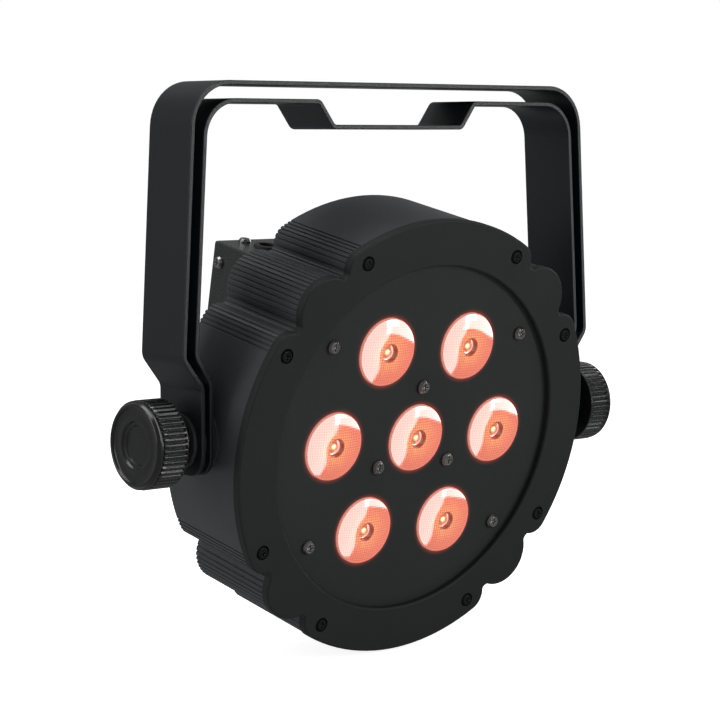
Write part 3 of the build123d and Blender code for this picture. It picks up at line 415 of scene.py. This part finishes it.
# ---------------------------------------------------------------- lenses
LENS_NUMBERS = range(1, 8)
WELL_R = 3.9             # the well round the emitter
DOME_START_R = 4.4       # the dome starts outside the well's rounded lip
DOME_R = 38.0            # the dome's own radius of curvature
DOME_TOP = 2.25          # height of the dome over the front plate
DOME_STEPS = 12
LENS_RIM = 1.0           # width of the rounded rim outside the dome
LENS_SKIRT = -1.9        # the rim's underside, just behind the plate's face
LENS_FOOT = (5.2, -16.5)   # radius and height of the collimator's narrow end


def lens_middle(number, plate_front):
    """Where a lens's axis meets the plate's face, on the head's axes."""
    low, high = head_box(f"lens_{number}")
    middle = (low + high) / 2
    return Vector((middle.x, middle.y, plate_front))


def lens_piece(number, material, plate_front):
    """A domed lens with a shallow well in its middle, at the CAD lens's own axis."""
    node = f"lens_{number}"
    place = HEAD @ Matrix.Translation(lens_middle(number, plate_front))
    dome = []
    for k in range(DOME_STEPS + 1):
        radius = DOME_START_R + (LENS_R - LENS_RIM - DOME_START_R) * k / DOME_STEPS
        sag = DOME_R - math.sqrt(DOME_R**2 - (radius - DOME_START_R) ** 2)
        dome.append((radius, DOME_TOP - sag))
    edge = dome[-1]
    # the emitter's bead, the well's floor and wall, the dome, the rim and the collimator behind it
    profile = [(0, 0.85), (0.6, 0.8), (1.1, 0.6), (1.5, 0.25), (1.7, -0.1), (2.9, -0.2)]
    profile += [(WELL_R - 0.4, 0.0), (WELL_R - 0.1, 0.5), (WELL_R, 1.5), (WELL_R + 0.1, 2.05)]
    profile += [(WELL_R + 0.3, DOME_TOP)]
    profile += dome
    profile += [(LENS_R - 0.5, edge[1] - 0.15), (LENS_R - 0.15, 0.25), (LENS_R, -0.1)]
    profile += [(LENS_R, LENS_SKIRT), (LENS_R - 0.6, LENS_SKIRT), LENS_FOOT, (0, LENS_FOOT[1])]
    piece = mesh_piece(f"lit_{node}", lathe(scaled(profile), 96), place, material)
    glow = piece.data.attributes.new("glow", "FLOAT_VECTOR", "POINT")
    back = place.inverted()
    for vertex, value in zip(piece.data.vertices, glow.data):
        local = back @ vertex.co
        value.vector = (local.x / MM, local.y / MM, 0)
    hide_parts(node)
    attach(piece, "head")
    return piece


# ---------------------------------------------------------------- knobs
KNOB_R = 19.0
KNOB_RIBS = 46
RIB_DEPTH = 0.75
RIB_STEPS = 6            # rings along the ribs
KNOB_BODY_L = 15.2       # from the knob's face back to the rear of its wide body
RIBS_FROM = 14.4         # the ribs run between these depths behind the face
RIBS_TO = 2.8


def knob_piece(side, sign, material):
    """A tilt knob: a hub, a ribbed body with rounded ribs, two lip bands and a dished face."""
    low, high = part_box(f"knob_{side}")
    hub_x = abs(low.x if sign > 0 else high.x) / MM
    face_x = abs(high.x if sign > 0 else low.x) / MM
    depth = face_x - hub_x
    hub = Vector((sign * hub_x * MM, PIVOT.y, PIVOT.z))
    place = axes_matrix(hub, Vector((0, sign, 0)), Vector((0, 0, 1)), Vector((sign, 0, 0)))
    back, rib_low, rib_high = depth - KNOB_BODY_L, depth - RIBS_FROM, depth - RIBS_TO
    # the stud's socket, the hub, the body's back, the ribs, the two lip bands and the dished face
    profile = [(0, 12.4), (3.9, 12.4), (4.0, 12.2), (4.0, 0.4), (4.4, 0.0), (9.4, 0.0), (10.0, 0.6)]
    profile += [(10.0, back - 0.4), (10.4, back), (KNOB_R - 0.9, back), (KNOB_R - 0.25, back + 0.15)]
    profile += [(KNOB_R, back + 0.45), (KNOB_R, rib_low)]
    for k in range(RIB_STEPS + 1):
        profile.append((KNOB_R, rib_low + 0.05 + (rib_high - rib_low - 0.3) * k / RIB_STEPS))
    profile += [(KNOB_R - 0.12, rib_high), (KNOB_R - 0.7, rib_high + 0.1)]
    profile += [(KNOB_R - 0.75, rib_high + 0.35), (KNOB_R - 0.3, rib_high + 0.5)]
    profile += [(KNOB_R - 0.2, rib_high + 0.7), (KNOB_R - 0.25, rib_high + 1.15)]
    profile += [(KNOB_R - 0.8, rib_high + 1.35), (KNOB_R - 0.95, rib_high + 1.6)]
    profile += arc((KNOB_R - 2.1, depth - 0.95), 0.9, 10, 170, 8)
    profile += [(KNOB_R - 3.1, depth - 1.1), (KNOB_R - 3.5, depth - 1.3), (12.0, depth - 1.2)]
    profile += [(11.0, depth - 1.0), (10.4, depth - 1.05), (10.0, depth - 1.5), (9.75, depth - 2.0)]
    profile += [(8.7, depth - 2.1), (8.3, depth - 2.5), (8.0, depth - 2.85), (4.0, depth - 2.8)]
    profile += [(0, depth - 2.75)]

    def ribbed(radius, height, angle):
        """The radius at one angle, cut by narrow rounded grooves along the ribs."""
        if radius < (KNOB_R - 0.9) * MM or not rib_low * MM < height < (rib_high + 0.05) * MM:
            return radius
        wave = 0.5 + 0.5 * math.cos(KNOB_RIBS * angle)
        return radius - RIB_DEPTH * MM * wave**3

    piece = mesh_piece(f"ribbed_knob_{side}", lathe(scaled(profile), KNOB_RIBS * 10, ribbed), place, material)
    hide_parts(f"knob_{side}")
    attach(piece, f"{side}_knob")
    return piece


# ---------------------------------------------------------------- stage, light and camera
CAMERA_AT = Vector((-0.6837, -0.7975, -0.0237))
CAMERA_LOOK = Vector((0.6421, 0.7606, -0.0953))
CAMERA_LENS = 116.5      # mm, on a 36 mm sensor
FLOOR_HALF = 30.0
FLOOR_DROP = 0.001


def add_camera():
    """The camera fitted to the photograph."""
    data = bpy.data.cameras.new("camera")
    data.lens = CAMERA_LENS
    data.sensor_width = 36.0
    camera = bpy.data.objects.new("camera", data)
    camera.location = CAMERA_AT
    camera.rotation_mode = "QUATERNION"
    camera.rotation_quaternion = CAMERA_LOOK.to_track_quat("-Z", "Y")
    bpy.context.scene.collection.objects.link(camera)
    bpy.context.scene.camera = camera


def softbox(name, at, target, width, height, power, only=None):
    """A rectangular softbox, square to its target. With a collection, it lights only what is in it."""
    data = bpy.data.lights.new(name, "AREA")
    data.shape = "RECTANGLE"
    data.size = width
    data.size_y = height
    data.energy = power
    light = bpy.data.objects.new(name, data)
    light.location = at
    light.rotation_mode = "QUATERNION"
    light.rotation_quaternion = (Vector(target) - Vector(at)).to_track_quat("-Z", "Y")
    if only is not None:
        light.light_linking.receiver_collection = only
    bpy.context.scene.collection.objects.link(light)


def add_world():
    """White for the camera, dim grey for the light it sheds."""
    world = bpy.data.worlds.new("studio")
    bpy.context.scene.world = world
    world.use_nodes = True
    tree = world.node_tree
    back = next(n for n in tree.nodes if n.type == "BACKGROUND")
    seen = add_node(tree, "ShaderNodeLightPath").outputs["Is Camera Ray"]
    back.inputs["Color"].default_value = (1, 1, 1, 1)
    tree.links.new(ramp(tree, seen, 0.0, 1.0, 0.22, 1.0), back.inputs["Strength"])


def add_floor():
    """A wide floor just under the object, so that no horizon shows. It is left out of reflections."""
    builder = bmesh.new()
    bmesh.ops.create_grid(builder, x_segments=8, y_segments=8, size=FLOOR_HALF)
    place = Matrix.Translation((0, 0, CAD_BOX[0][2] - FLOOR_DROP))
    floor = mesh_piece("floor", builder, place, stage_material("floor"))
    floor.visible_glossy = False
    floor.visible_shadow = False


def add_lights(lenses):
    """Five dim boxes for the whole object, and two large ones that light only the lenses."""
    centre = Vector((0, 0, PIVOT.z))
    softbox("top_box", (-0.3, 0.2, 1.3), centre, 1.2, 1.0, 11)
    softbox("left_box", (-1.7, 0.5, 0.5), centre, 0.6, 1.5, 8)
    softbox("front_box", (0.6, -1.6, 0.5), centre, 0.6, 0.6, 7)
    softbox("right_box", (1.5, 0.5, 0.4), centre, 0.8, 0.8, 4)
    softbox("edge_box", (1.35, -1.6, -0.02), centre, 0.5, 0.4, 5)
    only = bpy.data.collections.new("lens_light")
    for lens in lenses:
        only.objects.link(lens)
    softbox("lens_front_box", (-0.25, -1.6, -0.7), (-0.25, 0, -0.7), 3.05, 3.2, 175, only)
    softbox("lens_right_box", (1.7, -0.9, 0.37), (0, 0, 0.37), 2.0, 1.8, 74, only)


# ---------------------------------------------------------------- assembly
def paint(material, *nodes):
    """Gives CAD nodes a material in place of their plain one."""
    for name in nodes:
        mesh = frame["nodes"][name].data
        mesh.materials.clear()
        mesh.materials.append(material)


def paint_housings(plate_front):
    """The painted sheet metal and castings."""
    centres = [HEAD @ lens_middle(number, plate_front) for number in LENS_NUMBERS]
    # the last colour of each coat lightens its edges: a painted edge highlight, with paint rubbed thin
    yoke_coat = painted_metal(
        "yoke_coat", (0.0048, 0.0075, 0.0098), 0.36, 0.45, 0.00006, (0.17, 0.18, 0.19), 0.0005
    )
    housing_coat = painted_metal(
        "housing_coat", (0.038, 0.043, 0.047), 0.42, 0.6, 0.00003, (0.05, 0.053, 0.056), 0.0004
    )
    bezel_coat = painted_metal(
        "bezel_coat", (0.0145, 0.0165, 0.0162), 0.55, 0.5, 0.00003, (0.05, 0.052, 0.052), 0.0004, 0.3
    )
    box_coat = painted_metal(
        "box_coat", (0.026, 0.029, 0.028), 0.26, 0.5, 0.00004, (0.2, 0.2, 0.2), 0.0005
    )
    paint(yoke_coat, "outer_yoke", "inner_yoke")
    paint(housing_coat, "housing")
    paint(bezel_coat, "bezel")
    paint(box_coat, "rear_box", "rear_panel")
    paint(plate_material("plate_coat", (0.018, 0.0205, 0.0205), centres, LENS_R * MM), "front_plate")


def paint_metal_parts():
    """Screws, studs, pins and the heat sink."""
    # each rim lightens that metal's edges: a painted highlight as well as rubbed wear
    paint(bare_metal("black_oxide", (0.012, 0.012, 0.013), 0.3, rim=6.0, metallic=0.7), "bezel_screws")
    paint(bare_metal("nickel", (0.34, 0.33, 0.32), 0.24, rim=2.6), "plate_screws", "sink_screws")
    paint(bare_metal("bright_zinc", (0.42, 0.42, 0.41), 0.16, rim=2.0), "case_screws")
    paint(bare_metal("steel", (0.52, 0.52, 0.53), 0.25),
          "knob_stud_left", "knob_stud_right", "plate_standoffs",
          "safety_eye", "board_posts", "dmx_latch")
    paint(bare_metal("brass", (0.72, 0.5, 0.22), 0.22), "knob_inserts", "dmx_in_pins", "socket_contacts",
          "power_inlet_pins")
    paint(bare_metal("aluminium", (0.7, 0.7, 0.71), 0.3, 2, 0.85), "heat_sink")
    paint(bare_metal("capacitor_can", (0.12, 0.14, 0.3), 0.35), "capacitors")


def paint_plastic_parts():
    """Mouldings, boards, leads and glass."""
    paint(moulded_plastic("washer_nylon", (0.03, 0.03, 0.03), 0.5), "friction_washers", "spacer_washers",
          "knob_washer_left", "knob_washer_right")
    paint(moulded_plastic("socket_plastic", (0.012, 0.012, 0.013), 0.42), "power_inlet", "power_outlet",
          "fuse_holder", "fuse_cap", "dmx_in_socket", "dmx_out_socket", "lens_holders")
    paint(moulded_plastic("button_plastic", (0.03, 0.03, 0.032), 0.35),
          "button_menu", "button_down", "button_up", "button_enter")
    paint(moulded_plastic("soft_rubber", (0.012, 0.012, 0.012), 0.7), "grommet")
    paint(moulded_plastic("chip_plastic", (0.03, 0.03, 0.03), 0.5), "control_chips", "tact_switches")
    paint(moulded_plastic("emitter_resin", (0.9, 0.6, 0.2), 0.3), "led_emitters")
    paint(moulded_plastic("core_varnish", (0.25, 0.17, 0.07), 0.45), "transformer")
    paint(moulded_plastic("lead_skin", (0.45, 0.03, 0.02), 0.45), "led_leads")
    paint(moulded_plastic("ribbon_skin", (0.4, 0.4, 0.42), 0.5), "ribbon_cable")
    paint(moulded_plastic("display_body", (0.06, 0.06, 0.06), 0.4), "display_module")
    paint(board_material("white_board", (0.75, 0.75, 0.72), (0.6, 0.6, 0.57)), "led_board")
    paint(board_material("green_board", (0.01, 0.12, 0.04), (0.02, 0.2, 0.07)),
          "control_board", "power_board")
    paint(window_material("window_red"), "display_window")
    paint(clear_glass("fuse_tube"), "fuse")


def build():
    """Paints the CAD bodies and makes the knobs and lenses. Gives back the lenses."""
    plate_front = head_box("front_plate")[1].z
    paint_housings(plate_front)
    paint_metal_parts()
    paint_plastic_parts()
    lit = lens_material("lit_lens")
    knob_skin = moulded_plastic("knob_skin", (0.004, 0.0045, 0.005), 0.26, 0.3, 0.000012, 0.4)
    knob_piece("left", -1, knob_skin)
    knob_piece("right", 1, knob_skin)
    return [lens_piece(number, lit, plate_front) for number in LENS_NUMBERS]


bpy.context.scene.view_settings.view_transform = "Standard"
add_camera()
add_world()
add_floor()
add_lights(build())
